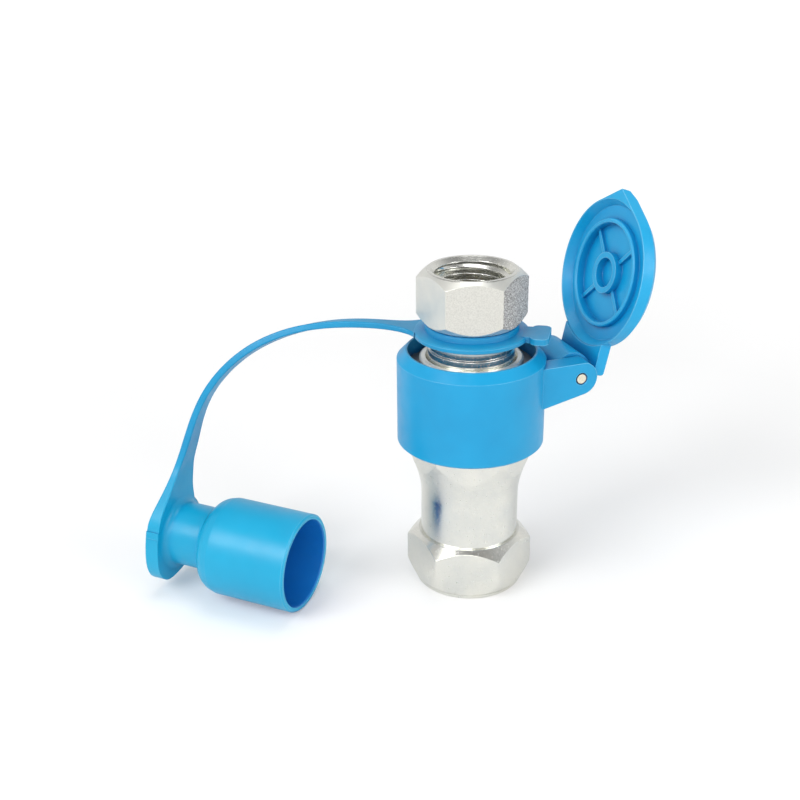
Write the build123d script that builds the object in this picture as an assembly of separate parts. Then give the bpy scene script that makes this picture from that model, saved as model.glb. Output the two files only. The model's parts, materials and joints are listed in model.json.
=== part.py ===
from build123d import *
import math
import os

# Half-inch poppet quick coupler, shown joined, with its hinged cover and tethered dust plug
# Millimetres. The coupler's axis is Z and Z = 0 is the bottom face it stands on

# Fits and gaps
running_fit = 0.05
loose_fit = 0.15
press_fit = 0.03
swing_gap = 0.35
edge_break = 0.5

# Radii of the male half, each a step or a wall away from the threaded port
port_radius = 10.48
port_chamfer = 1.22
male_port_wall = 3.02
male_guide_step = 1.08
male_chamber_step = 0.5
male_flow_gap = 1.7
male_seat_overlap = 1.6
nose_wall = 1.4
probe_step = 2.15
port_mouth_radius = port_radius + port_chamfer
male_hex_size = 2 * (port_radius + male_port_wall)
male_guide_radius = port_radius - male_guide_step
male_chamber = male_guide_radius - male_chamber_step
male_head_radius = male_chamber - male_flow_gap
male_orifice = male_head_radius - male_seat_overlap
nose_radius = male_chamber + nose_wall
probe_radius = nose_radius + probe_step
ring_neck_wall = 1.42
ring_groove_radius = port_radius + ring_neck_wall
flange_step = 0.45
flange_radius = ring_groove_radius + flange_step

# Radii of the female half, fitted round the male half
socket_bore = probe_radius + running_fit
seal_bore = nose_radius + 2 * running_fit
socket_mouth_flare = 0.6
socket_mouth_radius = socket_bore + socket_mouth_flare
tube_wall = 2.28
tube_radius = socket_bore + tube_wall
hex_shoulder = 1.22
female_hex_size = 2 * (tube_radius + hex_shoulder)
female_hex_corner = female_hex_size / math.sqrt(3)
chamber_step = 0.52
female_chamber = port_radius + chamber_step
female_flow_gap = 2.4
female_seat_overlap = 1.6
female_head_radius = female_chamber - female_flow_gap
female_orifice = female_head_radius - female_seat_overlap
spigot_step = 1.4
spigot_radius = female_chamber + spigot_step
spigot_wall = 1.8
guide_pocket_radius = spigot_radius - spigot_wall
guide_ledge = 1.6
adapter_bore = guide_pocket_radius - guide_ledge
neck_wall = 1.9
neck_radius = spigot_radius + neck_wall

# Turns of the two hexagons
female_hex_turn = -4.7
male_hex_turn = -0.66

# Heights of the female adapter
adapter_height = 16.0
foot_inset = 0.33
foot_height = 1.0
foot_slope = 1.28
collar_inset = 1.02
collar_slope = 0.945
female_thread_depth = 13.0
female_thread_runout = 1.4
shelf_rise = 4.5
spigot_length = 11.0
guide_shelf = adapter_height + shelf_rise
spigot_top = adapter_height + spigot_length
guide_thickness = 1.8
clip_thickness = 1.0
clip_bite = 0.45

# Heights of the socket body
neck_length = 20.5
flare_radius = 9.37
upper_hex_height = 9.5
tube_length = 25.3
ball_depth = 10.3
seal_bore_below = 6.3
seal_bore_length = 8.9
seat_below = 3.4
flare_start = adapter_height + neck_length
upper_hex_top = flare_start + upper_hex_height
tube_top = upper_hex_top + tube_length
ball_height = tube_top - ball_depth
seal_bore_top = ball_height - seal_bore_below
nose_stop = seal_bore_top - seal_bore_length
female_seat_edge = nose_stop - seat_below

# Seals
body_oring_section = 0.9
body_oring_rise = 1.0
socket_oring_section = 1.08
oring_play = 0.12
backup_thickness = 1.2
seal_groove_rise = 3.2
seal_groove_low = nose_stop + seal_groove_rise
seal_groove_high = seal_groove_low + 2 * (socket_oring_section + oring_play) + backup_thickness
socket_oring_radius = nose_radius + 0.8 * running_fit + socket_oring_section
seal_groove_radius = socket_oring_radius + socket_oring_section + 2 * running_fit

# Locking balls and sleeve
ball_radius = 1.984
ball_count = 8
ball_hole_gap = 0.07
ball_seat_gap = 0.02
ball_groove_gap = 0.132
ball_release_gap = 0.042
ramp_gap = 0.03
sleeve_travel = 5.0
sleeve_clearance = 0.06
sleeve_over_hex = 0.125
sleeve_wall = 1.2
sleeve_below = 5.8
sleeve_above = 7.0
spring_pocket_depth = 3.0
sleeve_radius = female_hex_corner + sleeve_over_hex
spring_pocket_radius = sleeve_radius - sleeve_wall
sleeve_bottom = ball_height - sleeve_below
sleeve_top = ball_height + sleeve_above
spring_pocket_top = sleeve_bottom + spring_pocket_depth
stop_ring_gap = 0.1
stop_groove_depth = 0.6
stop_ring_inset = 1.1
washer_thickness = 0.8
sleeve_wire = 0.65
sleeve_coils = 4

# Dust cover
cover_low_gap = 0.35
cover_wall = 2.22
cover_rim_step = 2.47
cover_lip = 0.46
cover_above = 5.1
cover_cone = 2.6
cover_skirt = 9.8
cover_low_bore = sleeve_radius + cover_low_gap
cover_radius = cover_low_bore + cover_wall
cover_rim_radius = cover_radius - cover_rim_step
cover_mouth_radius = sleeve_radius - cover_lip
cover_top = sleeve_top + cover_above
cover_crease = cover_top - cover_cone
cover_bottom = sleeve_bottom - cover_skirt

# Hinge
hinge_turn = 20.27
pin_out = 6.85
pin_below = 5.76
pin_radius = 1.6
pin_mouth = 0.5
pin_recess = 0.1
knuckle_width = 15.7
knuckle_radius = 5.7
ear_thickness = 5.8
ear_end_radius = 4.9
ear_rise = 4.7
ear_slope = 12.0
lid_open_angle = 102.84
pin_reach = cover_radius + pin_out
pin_height = cover_crease - pin_below
ear_width_over = knuckle_width + 2 * (swing_gap + ear_thickness)

# Lid, measured in its closed place
lid_overhang = 0.13
lid_mouth_gap = 0.25
lid_rim_edge = 0.3
lid_shelf_gap = 0.2
lid_shelf_step = 1.95
lid_rise = 2.5
lid_floor_depth = 1.6
lid_bevel = 1.5
lid_ring_radius = 15.6
lid_ring_wall = 1.3
lid_ring_gap = 0.15
lid_boss_radius = 5.95
lid_boss_wall = 1.65
lid_boss_depth = 2.3
rib_height = 1.0
rib_width = 1.2
tip_reach = 3.1
tip_upright = 2.5
tip_draft = 0.3
tip_nose = 1.8
leaf_gap = 0.86
leaf_width = 21.3
leaf_thickness = 3.35
leaf_short = 0.3
leaf_round = 0.8
web_reach = 3.0
lid_radius = cover_radius + lid_overhang
lid_mouth = cover_crease + lid_mouth_gap
lid_shelf = cover_top + lid_shelf_gap
lid_top = lid_shelf + lid_rise
lid_floor = lid_top - lid_floor_depth
lid_wall_top = lid_top - lid_bevel
lid_ring_end = tube_top + lid_ring_gap
lid_boss_end = lid_floor - lid_boss_depth

# Valves, standing open against each other
valve_meet = 0.7
nose_gap = 0.2
valve_nose_radius = 3.0
stem_radius = 2.0
stem_end = 0.3
hub_wall = 1.5
head_rim = 1.2
seal_slope = 0.9
head_slope = 1.8
female_seal_inset = 3.6
male_seal_inset = 3.0
female_head_length = 12.4
female_stem_below = 3.0
female_hub_below = 1.5
male_head_length = 9.5
male_spring_length = 10.0
male_stem_above = 4.5
male_hub_below = 3.0
male_hub_above = 3.3
spring_inset = 3.0
male_spring_inset = 2.0
female_wire = 0.6
male_wire = 0.55
female_coils = 5
male_coils = 4
valve_contact = nose_stop + valve_meet
nose_end = nose_stop + nose_gap
female_head_back = valve_contact - female_head_length
male_head_back = valve_contact + male_head_length
male_guide_shelf = male_head_back + male_spring_length

# Ring of the dust plug, and the male half's hexagon above it
tether_rise = 6.05
tether_ring_thickness = 1.5
tether_ring_width = 4.4
tether_lip_width = 1.4
tether_lip_rise = 2.2
tether_bottom = tube_top + tether_rise
tether_top = tether_bottom + tether_ring_thickness
tether_ring_radius = ring_groove_radius + tether_ring_width
tether_lip_radius = ring_groove_radius + tether_lip_width
tether_lip_top = tether_top + tether_lip_rise
hex_over_lip = 0.25
male_hex_height = 15.4
male_thread_depth = 15.3
male_thread_runout = 1.1
hex_foot_step = 1.15
hex_top_step = 0.9
hex_top_slope = 0.79
hex_corner_spare = 0.5
male_hex_bottom = tether_lip_top + hex_over_lip
male_top = male_hex_bottom + male_hex_height
male_thread_bottom = male_top - male_thread_depth

# Dust plug
plug_mouth_x = -48.14
plug_mouth_y = -18.38
plug_turn = -23.3
plug_tilt = 1.2
cup_gap = 0.3
cup_wall = 1.65
cup_length = 29.2
cup_floor = 2.4
cup_taper = 1.6
cup_straight = 20.0
shoulder_length = 5.7
plug_neck_radius = 9.35
neck_fillet = 1.7
plate_fillet = 2.0
plate_front = 41.6
plate_thickness = 4.15
neck_lift = 0.8
cup_bore = probe_radius + cup_gap
cup_radius = cup_bore + cup_wall
cup_depth = cup_length - cup_floor
tab_turn = -12
tab_reach = 5.7
tab_width = 11.5
tab_length = 5.3
tab_neck = 8.6
tab_round = 2.0


def turned(points):
    """A solid turned about Z from (radius, height) points."""
    outline = make_face(Polyline(*points, close=True))
    return revolve(Plane.XZ * outline, axis=Axis.Z)


def tube(outer, inner, bottom, top):
    """A plain ring standing on its axis."""
    return turned([(inner, bottom), (outer, bottom), (outer, top), (inner, top)])


def hexagon(size, turn, bottom, top):
    """A hexagonal bar, size across its flats."""
    bar = extrude(RegularPolygon(size / math.sqrt(3), 6, rotation=turn), top - bottom)
    return Pos(0, 0, bottom) * bar


def coil(mean_radius, wire_radius, bottom, top, turns):
    """A compression spring between two heights."""
    rise = top - bottom - 2 * wire_radius
    path = Helix(rise / turns, rise, mean_radius)
    path = Pos(0, 0, bottom + wire_radius) * path
    start = path @ 0
    section = Plane(origin=start, x_dir=(1, 0, 0), z_dir=path % 0) * Circle(wire_radius)
    return sweep(section, path, is_frenet=True)


def circlip(outer, inner, bottom, top, gap_degrees):
    """A flat snap ring with its gap on the +X side."""
    ring = tube(outer, inner, bottom, top)
    reach = 2 * outer
    half = reach * math.tan(math.radians(gap_degrees / 2))
    wedge = make_face(Polyline((0, 0), (reach, half), (reach, -half), close=True))
    return ring - Pos(0, 0, bottom) * extrude(wedge, top - bottom)


def spider(rim_outer, rim_inner, bottom, top, hub_bottom, hub_top):
    """A valve guide: rim, hub and three spokes."""
    hub_radius = stem_radius + hub_wall
    guide = tube(rim_outer, rim_inner, bottom, top)
    guide = guide + tube(hub_radius, stem_radius + running_fit, hub_bottom, hub_top)
    inner = (hub_radius + stem_radius) / 2
    outer = (rim_outer + rim_inner) / 2
    spoke = Pos((inner + outer) / 2, 0, (bottom + top) / 2) * Box(outer - inner, guide_thickness, top - bottom)
    for turn in (0, 120, 240):
        guide = guide + Rot(0, 0, turn) * spoke
    return guide


def across_arm(face, width):
    """A face drawn along the hinge arm and upwards, thickened evenly to both sides of the arm."""
    return arm * (Pos(0, width / 2, 0) * Rot(90, 0, 0) * extrude(face, width))


def save(shape, name):
    """Write one named piece."""
    shape.label = name
    export_step(shape, os.path.join("parts", name + ".step"))


os.makedirs("parts", exist_ok=True)

# Frame of the hinge arm: local X runs out along the arm, local Y across it
arm = Rot(0, 0, hinge_turn)

# Female adapter: hexagon, threaded port and the spigot that carries the valve guide
foot_radius = female_hex_size / 2 - foot_inset
collar_radius = female_hex_size / 2 - collar_inset
adapter_corner = female_hex_corner + hex_corner_spare
adapter_skin = turned([
    (0, 0), (foot_radius - foot_inset, 0), (foot_radius, foot_inset), (foot_radius, foot_height),
    (adapter_corner, foot_height + foot_slope * (adapter_corner - foot_radius)),
    (adapter_corner, adapter_height - collar_slope * (adapter_corner - collar_radius)),
    (collar_radius, adapter_height), (0, adapter_height),
])
adapter_hex = hexagon(female_hex_size, female_hex_turn, 0, adapter_height) & adapter_skin
spigot = turned([
    (0, adapter_height - foot_height), (spigot_radius, adapter_height - foot_height),
    (spigot_radius, spigot_top - edge_break), (spigot_radius - edge_break, spigot_top), (0, spigot_top),
])
adapter_hollow = turned([
    (0, -port_chamfer), (port_mouth_radius + port_chamfer, -port_chamfer), (port_mouth_radius, 0),
    (port_radius, port_chamfer), (port_radius, female_thread_depth),
    (adapter_bore, female_thread_depth + female_thread_runout), (adapter_bore, guide_shelf),
    (guide_pocket_radius, guide_shelf), (guide_pocket_radius, spigot_top + 1), (0, spigot_top + 1),
])
guide_top = guide_shelf + guide_thickness
clip_top = guide_top + clip_thickness
clip_groove = tube(guide_pocket_radius + clip_bite + running_fit, adapter_bore, guide_top, clip_top + running_fit)
body_oring_low = adapter_height + body_oring_rise
body_oring_radius = spigot_radius - body_oring_section
body_groove_radius = body_oring_radius - body_oring_section - running_fit
body_groove_high = body_oring_low + 2 * (body_oring_section + running_fit)
body_groove = tube(spigot_radius + 1, body_groove_radius, body_oring_low, body_groove_high)
female_adapter = adapter_hex + spigot - adapter_hollow - clip_groove - body_groove
save(female_adapter, "female_adapter")

body_oring_height = (body_oring_low + body_groove_high) / 2
body_oring = Pos(0, 0, body_oring_height) * Torus(body_oring_radius, body_oring_section)
save(body_oring, "body_oring")

# Socket body: neck, flare, hidden upper hexagon and the tube that carries the balls
flare_steps = 8
flare_corner = female_hex_corner + hex_corner_spare
flare_level = flare_radius - flare_corner + neck_radius
flare_rise = math.sqrt(flare_radius**2 - flare_level**2)
flare_points = []
for step in range(flare_steps + 1):
    rise = flare_rise * step / flare_steps
    flare_points.append((neck_radius + flare_radius - math.sqrt(flare_radius**2 - rise**2), flare_start + rise))
flare_line = Spline(*flare_points, tangents=[(0, 1), (flare_rise, flare_level)])
body_side = Polyline(
    flare_points[-1], (flare_corner, upper_hex_top), (tube_radius, upper_hex_top),
    (tube_radius, tube_top - edge_break), (tube_radius - edge_break, tube_top), (0, tube_top),
    (0, adapter_height), (neck_radius, adapter_height), flare_points[0],
)
body_solid = revolve(Plane.XZ * make_face(flare_line + body_side), axis=Axis.Z)
body_bar = hexagon(female_hex_size, female_hex_turn, adapter_height, upper_hex_top)
body_bar = body_bar + tube(tube_radius + 1, 0, upper_hex_top, tube_top)
body_solid = body_solid & body_bar
cone_rise = socket_bore - seal_bore
spigot_room = spigot_top + nose_gap
body_hollow = turned([
    (0, adapter_height - 1), (spigot_radius + press_fit, adapter_height - 1),
    (spigot_radius + press_fit, spigot_room), (female_chamber, spigot_room + spigot_step),
    (female_chamber, female_seat_edge - (female_chamber - female_orifice)),
    (female_orifice, female_seat_edge), (female_orifice, nose_stop), (seal_bore, nose_stop),
    (seal_bore, seal_bore_top), (socket_bore, seal_bore_top + cone_rise), (socket_bore, tube_top - 2 * edge_break),
    (socket_mouth_radius, tube_top), (socket_mouth_radius, tube_top + 1), (0, tube_top + 1),
])
seal_groove = tube(seal_groove_radius, nose_radius, seal_groove_low, seal_groove_high)
stop_low = sleeve_top + stop_ring_gap
stop_high = stop_low + clip_thickness
stop_groove_radius = tube_radius - stop_groove_depth
stop_groove = tube(tube_radius + 1, stop_groove_radius, stop_low, stop_high)
socket_body = body_solid - body_hollow - seal_groove - stop_groove
ball_hole = Pos(tube_radius, 0, ball_height) * Rot(0, 90, 0) * Cylinder(ball_radius + ball_hole_gap, 3 * tube_wall)
for index in range(ball_count):
    socket_body = socket_body - Rot(0, 0, (index + 0.5) * 360 / ball_count) * ball_hole
save(socket_body, "socket_body")

socket_oring_height = seal_groove_low + oring_play + socket_oring_section
socket_oring = Pos(0, 0, socket_oring_height) * Torus(socket_oring_radius, socket_oring_section)
save(socket_oring, "socket_oring")
backup_ring = tube(
    seal_groove_radius - ball_seat_gap, nose_radius + running_fit, seal_groove_high - backup_thickness, seal_groove_high
)
save(backup_ring, "backup_ring")

# Locking balls, seated in the male half's groove
ball_reach = tube_radius + ball_seat_gap - ball_radius
for index in range(ball_count):
    turn = (index + 0.5) * 360 / ball_count
    ball = Rot(0, 0, turn) * Pos(ball_reach, 0, ball_height) * Sphere(ball_radius)
    save(ball, "ball_" + str(index + 1))

# Locking sleeve: a cone that presses the balls in and lets them out as it is drawn down
ball_travel = probe_radius - (ball_reach - ball_radius) + ball_release_gap
ramp = ball_travel / sleeve_travel
ramp_at_ball = ball_reach + (ball_radius + ramp_gap) * math.sqrt(1 + ramp**2)
land_radius = tube_radius + sleeve_clearance
ramp_start = ball_height - (ramp_at_ball - land_radius) / ramp
ramp_end = ball_height + sleeve_travel + lid_rim_edge
ramp_end_radius = ramp_at_ball + ramp * (ramp_end - ball_height)
locking_sleeve = turned([
    (spring_pocket_radius, sleeve_bottom), (sleeve_radius, sleeve_bottom), (sleeve_radius, sleeve_top),
    (ramp_end_radius, sleeve_top), (ramp_end_radius, ramp_end), (land_radius, ramp_start),
    (land_radius, spring_pocket_top), (spring_pocket_radius, spring_pocket_top),
])
save(locking_sleeve, "locking_sleeve")

sleeve_stop_ring = circlip(sleeve_radius - stop_ring_inset, stop_groove_radius, stop_low, stop_high, 12)
save(Rot(0, 0, 150) * sleeve_stop_ring, "sleeve_stop_ring")

washer_top = upper_hex_top + washer_thickness
spring_washer = tube(spring_pocket_radius, tube_radius + loose_fit, upper_hex_top, washer_top)
save(spring_washer, "spring_washer")
sleeve_spring_radius = (tube_radius + spring_pocket_radius) / 2
sleeve_spring = coil(sleeve_spring_radius, sleeve_wire, washer_top, spring_pocket_top, sleeve_coils)
save(sleeve_spring, "sleeve_spring")

# Dust cover with its two hinge ears
ear_root = -(pin_reach - sleeve_radius - cover_low_gap)
ear_lean = math.radians(ear_slope)
ear_face = make_face(Polyline(
    (ear_root, ear_rise), (0, ear_rise), (ear_end_radius, 0),
    (ear_end_radius * math.sin(ear_lean), -ear_end_radius * math.cos(ear_lean)),
    (ear_root, -ear_end_radius / math.cos(ear_lean) + ear_root * math.tan(ear_lean)), close=True,
))
ear_face = ear_face + Circle(ear_end_radius)
ear_face = ear_face - Pos(0, ear_rise + ear_end_radius) * Rectangle(4 * ear_end_radius, 2 * ear_end_radius)
ear_face = Pos(pin_reach, pin_height) * ear_face
ears = across_arm(ear_face, ear_width_over) - across_arm(ear_face, knuckle_width + 2 * swing_gap)
for side in (-1, 1):
    mouth = Cone(pin_radius, pin_radius + pin_mouth, 2 * pin_mouth)
    ears = ears - arm * Pos(pin_reach, side * ear_width_over / 2, pin_height) * Rot(-90 * side, 0, 0) * mouth
cover_skin = turned([
    (0, cover_bottom), (cover_radius - edge_break, cover_bottom), (cover_radius, cover_bottom + edge_break),
    (cover_radius, cover_crease), (cover_rim_radius, cover_top), (0, cover_top),
])
shelf_bore = sleeve_radius + press_fit
cover_hollow = turned([
    (0, cover_bottom - 1), (cover_low_bore, cover_bottom - 1), (cover_low_bore, sleeve_bottom),
    (shelf_bore, sleeve_bottom), (shelf_bore, sleeve_top), (cover_mouth_radius, sleeve_top),
    (cover_mouth_radius, cover_top + 1), (0, cover_top + 1),
])
pin_place = Pos(pin_reach, pin_height)
pin_hole = across_arm(pin_place * Circle(pin_radius + press_fit), 2 * ear_width_over)
dust_cover = cover_skin + ears - cover_hollow - pin_hole
save(dust_cover, "dust_cover")

hinge_pin = across_arm(pin_place * Circle(pin_radius), ear_width_over - 2 * pin_recess)
save(hinge_pin, "hinge_pin")

# Lid, built closed and then swung open about the pin
lid_ring_inner = lid_ring_radius - lid_ring_wall
lid_boss_inner = lid_boss_radius - lid_boss_wall
lid_solid = turned([
    (0, lid_floor), (lid_boss_inner, lid_floor), (lid_boss_inner, lid_boss_end), (lid_boss_radius, lid_boss_end),
    (lid_boss_radius, lid_floor), (lid_ring_inner, lid_floor), (lid_ring_inner, lid_ring_end + lid_rim_edge),
    (lid_ring_inner + lid_rim_edge, lid_ring_end), (lid_ring_radius - lid_rim_edge, lid_ring_end),
    (lid_ring_radius, lid_ring_end + lid_rim_edge), (lid_ring_radius, lid_shelf),
    (lid_radius - lid_shelf_step, lid_shelf), (lid_radius - lid_rim_edge, lid_mouth), (lid_radius, lid_mouth),
    (lid_radius, lid_wall_top), (lid_radius - lid_bevel, lid_top), (0, lid_top),
])
rib_inner = (lid_boss_inner + lid_boss_radius) / 2
rib_outer = (lid_ring_inner + lid_ring_radius) / 2
rib = Box(rib_outer - rib_inner, rib_width, 2 * rib_height, align=(Align.MIN, Align.CENTER, Align.CENTER))
for turn in (45, 135, 225, 315):
    lid_solid = lid_solid + arm * Rot(0, 0, turn) * Pos(rib_inner, 0, lid_floor) * rib
tip_radius = lid_radius + tip_reach
tip_angle = math.acos(lid_radius / tip_radius)
tip_x = lid_radius * math.cos(tip_angle)
tip_y = lid_radius * math.sin(tip_angle)
tip_face = make_face(Polyline((-tip_radius, 0), (-tip_x, tip_y), (-tip_x, -tip_y), close=True))
tip = Pos(0, 0, lid_mouth) * extrude(tip_face, lid_wall_top - lid_mouth)
tip_skin = turned([
    (0, lid_mouth), (tip_radius, lid_mouth), (tip_radius - tip_draft, lid_mouth + tip_upright),
    (tip_radius - tip_nose, lid_wall_top), (0, lid_wall_top),
])
tip_core = tube(lid_radius - lid_rim_edge, 0, lid_mouth, lid_wall_top)
lid_solid = lid_solid + arm * ((tip & tip_skin) - tip_core)
leaf_low = pin_height + ear_rise + leaf_gap
leaf_high = leaf_low + leaf_thickness
leaf_end = pin_reach - leaf_short
leaf_start = lid_radius / 2
leaf_face = make_face(Polyline(
    (leaf_start, leaf_low), (leaf_end, leaf_low), (leaf_end, leaf_high - leaf_round),
    (leaf_end - 0.3 * leaf_round, leaf_high - 0.3 * leaf_round), (leaf_end - leaf_round, leaf_high),
    (leaf_start, leaf_high), close=True,
))
web_rise = leaf_low - pin_height
web_angle = math.atan2(web_rise, -web_reach) + math.acos(knuckle_radius / math.hypot(web_reach, web_rise))
web_face = make_face(Polyline(
    (0, 0), (0, web_rise + leaf_round), (-web_reach, web_rise + leaf_round), (-web_reach, web_rise),
    (knuckle_radius * math.cos(web_angle), knuckle_radius * math.sin(web_angle)), close=True,
))
knuckle_face = pin_place * (Circle(knuckle_radius) + web_face)
leaf = across_arm(leaf_face, leaf_width) + across_arm(knuckle_face, knuckle_width)
leaf = leaf - tube(lid_radius - running_fit, 0, cover_bottom, lid_top)
lid_closed = lid_solid + leaf - across_arm(pin_place * Circle(pin_radius + 2 * running_fit), leaf_width)
hinge_heading = math.radians(hinge_turn)
hinge_point = (pin_reach * math.cos(hinge_heading), pin_reach * math.sin(hinge_heading), pin_height)
hinge_axis = Axis(hinge_point, (-math.sin(hinge_heading), math.cos(hinge_heading), 0))
cover_lid = lid_closed.rotate(hinge_axis, lid_open_angle)
save(cover_lid, "cover_lid")

# Female valve: head, seal, spring and the three-legged guide that carries its stem
female_seal_low = female_head_back + head_rim
female_seal_high = female_seal_low + seal_slope
female_seal_inner = female_head_radius - female_seal_inset
female_poppet = turned([
    (0, guide_shelf - female_stem_below), (stem_radius - stem_end, guide_shelf - female_stem_below),
    (stem_radius, guide_shelf - female_stem_below + stem_end), (stem_radius, female_head_back),
    (female_head_radius, female_head_back), (female_head_radius, female_seal_low),
    (female_seal_inner, female_seal_low), (female_seal_inner, female_seal_high),
    (female_head_radius - seal_slope, female_seal_high),
    (female_head_radius - head_slope, female_seal_low + head_slope),
    (valve_nose_radius, female_seal_low + head_slope), (valve_nose_radius, valve_contact - edge_break),
    (valve_nose_radius - edge_break, valve_contact), (0, valve_contact),
])
save(female_poppet, "female_poppet")
female_valve_seal = turned([
    (female_seal_inner, female_seal_low), (female_head_radius, female_seal_low),
    (female_head_radius - seal_slope, female_seal_high), (female_seal_inner, female_seal_high),
])
save(female_valve_seal, "female_valve_seal")
female_valve_guide = spider(
    guide_pocket_radius - running_fit, adapter_bore - male_chamber_step,
    guide_shelf, guide_top, guide_shelf - female_hub_below, spigot_top,
)
save(female_valve_guide, "female_valve_guide")
female_guide_clip = circlip(guide_pocket_radius + clip_bite, adapter_bore + swing_gap, guide_top, clip_top, 40)
save(female_guide_clip, "female_guide_clip")
female_spring_radius = female_head_radius - spring_inset
female_valve_spring = coil(female_spring_radius, female_wire, guide_top, female_head_back, female_coils)
save(female_valve_spring, "female_valve_spring")

# Male body: hexagon, threaded port, ring groove, probe and nose
male_corner = male_hex_size / math.sqrt(3) + hex_corner_spare
hex_foot_radius = ring_groove_radius + hex_foot_step
hex_top_radius = port_mouth_radius + hex_top_step
male_skin = turned([
    (0, male_hex_bottom), (hex_foot_radius, male_hex_bottom),
    (male_corner, male_hex_bottom + male_corner - hex_foot_radius),
    (male_corner, male_top - hex_top_slope * (male_corner - hex_top_radius)),
    (hex_top_radius, male_top), (0, male_top),
])
male_hex = hexagon(male_hex_size, male_hex_turn, male_hex_bottom, male_top) & male_skin
groove_floor = ball_reach - ball_radius - ball_groove_gap
groove_depth = probe_radius - groove_floor
groove_half = 0.8
nose_shoulder = seal_bore_top + cone_rise + lid_rim_edge
flange_waist = 0.55
flange_high = tether_bottom - 2.25
flange_low = flange_high - 1.6
flare_foot = flange_low - 1.3
male_stem = turned([
    (0, male_hex_bottom + 1), (ring_groove_radius, male_hex_bottom + 1), (ring_groove_radius, tether_bottom),
    (flange_radius, tether_bottom), (flange_radius, flange_high), (flange_radius - flange_waist, flange_high - 0.2),
    (flange_radius - flange_waist, flange_low + 0.3), (flange_radius - 0.1, flange_low), (probe_radius, flare_foot),
    (probe_radius, ball_height + groove_half + groove_depth), (groove_floor, ball_height + groove_half),
    (groove_floor, ball_height - groove_half), (probe_radius, ball_height - groove_half - groove_depth),
    (probe_radius, nose_shoulder), (nose_radius, nose_shoulder - probe_step),
    (nose_radius, nose_end + edge_break), (nose_radius - edge_break, nose_end), (0, nose_end),
])
male_guide_top = male_guide_shelf + guide_thickness
male_clip_top = male_guide_top + clip_thickness
male_seat = nose_end + male_seat_overlap
male_hollow = turned([
    (0, nose_end - 1), (male_orifice, nose_end - 1), (male_orifice, male_seat),
    (male_chamber, male_seat + male_chamber - male_orifice), (male_chamber, male_guide_shelf),
    (male_guide_radius, male_guide_shelf), (male_guide_radius, male_thread_bottom - male_thread_runout),
    (port_radius, male_thread_bottom), (port_radius, male_top - port_chamfer), (port_mouth_radius, male_top),
    (port_mouth_radius + 1, male_top + 1), (0, male_top + 1),
])
male_clip_groove = tube(
    male_guide_radius + clip_bite + running_fit, male_chamber, male_guide_top, male_clip_top + running_fit
)
male_body = male_hex + male_stem - male_hollow - male_clip_groove
save(male_body, "male_body")

# Male valve, the mirror of the female one
male_seal_high = male_head_back - head_rim
male_seal_low = male_seal_high - seal_slope
male_seal_inner = male_head_radius - male_seal_inset
male_poppet = turned([
    (0, valve_contact), (valve_nose_radius - edge_break, valve_contact),
    (valve_nose_radius, valve_contact + edge_break), (valve_nose_radius, male_seal_high - head_slope),
    (male_head_radius - head_slope, male_seal_high - head_slope), (male_head_radius - seal_slope, male_seal_low),
    (male_seal_inner, male_seal_low), (male_seal_inner, male_seal_high), (male_head_radius, male_seal_high),
    (male_head_radius, male_head_back), (stem_radius, male_head_back),
    (stem_radius, male_guide_shelf + male_stem_above - stem_end),
    (stem_radius - stem_end, male_guide_shelf + male_stem_above), (0, male_guide_shelf + male_stem_above),
])
save(male_poppet, "male_poppet")
male_valve_seal = turned([
    (male_seal_inner, male_seal_low), (male_head_radius - seal_slope, male_seal_low),
    (male_head_radius, male_seal_high), (male_seal_inner, male_seal_high),
])
save(male_valve_seal, "male_valve_seal")
male_valve_guide = spider(
    male_guide_radius - running_fit, male_chamber - 2 * male_chamber_step,
    male_guide_shelf, male_guide_top, male_guide_shelf - male_hub_below, male_guide_shelf + male_hub_above,
)
save(male_valve_guide, "male_valve_guide")
male_guide_clip = circlip(
    male_guide_radius + clip_bite, male_chamber - male_chamber_step, male_guide_top, male_clip_top, 40
)
save(male_guide_clip, "male_guide_clip")
male_spring_radius = male_head_radius - male_spring_inset
male_valve_spring = coil(male_spring_radius, male_wire, male_head_back, male_guide_shelf, male_coils)
save(male_valve_spring, "male_valve_spring")

# Dust plug: cup, neck and tongue, joined by the strap to the ring on the male half
plug_heading = math.radians(plug_turn)
tilt = math.radians(plug_tilt)
plug_axis = Vector(
    math.cos(plug_heading) * math.cos(tilt), math.sin(plug_heading) * math.cos(tilt), -math.sin(tilt)
)
plug_across = Vector(-math.sin(plug_heading), math.cos(plug_heading), 0)
plug_up = plug_axis.cross(plug_across)
plug_mouth = Vector(plug_mouth_x, plug_mouth_y, cup_radius * math.cos(tilt))
plug_frame = Plane(origin=plug_mouth, x_dir=plug_across, z_dir=plug_axis)
shoulder_start = plug_neck_radius + neck_fillet
shoulder_points = []
for step in range(7):
    angle = math.pi / 2 * step / 6
    shoulder_points.append((
        shoulder_start + (cup_radius - shoulder_start) * math.sin(angle),
        -cup_length + shoulder_length * (1 - math.cos(angle)),
    ))
shoulder_line = Spline(*shoulder_points, tangents=[(1, 0), (0, 1)])


def fillet_arc(radius, height, size, lift):
    """A hollow quarter round between the plug's neck and the face that it meets."""
    bulge = size * (1 - math.sqrt(0.5))
    return ThreePointArc(
        (radius, height - lift * size), (radius + bulge, height - lift * bulge), (radius + size, height)
    )


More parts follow.
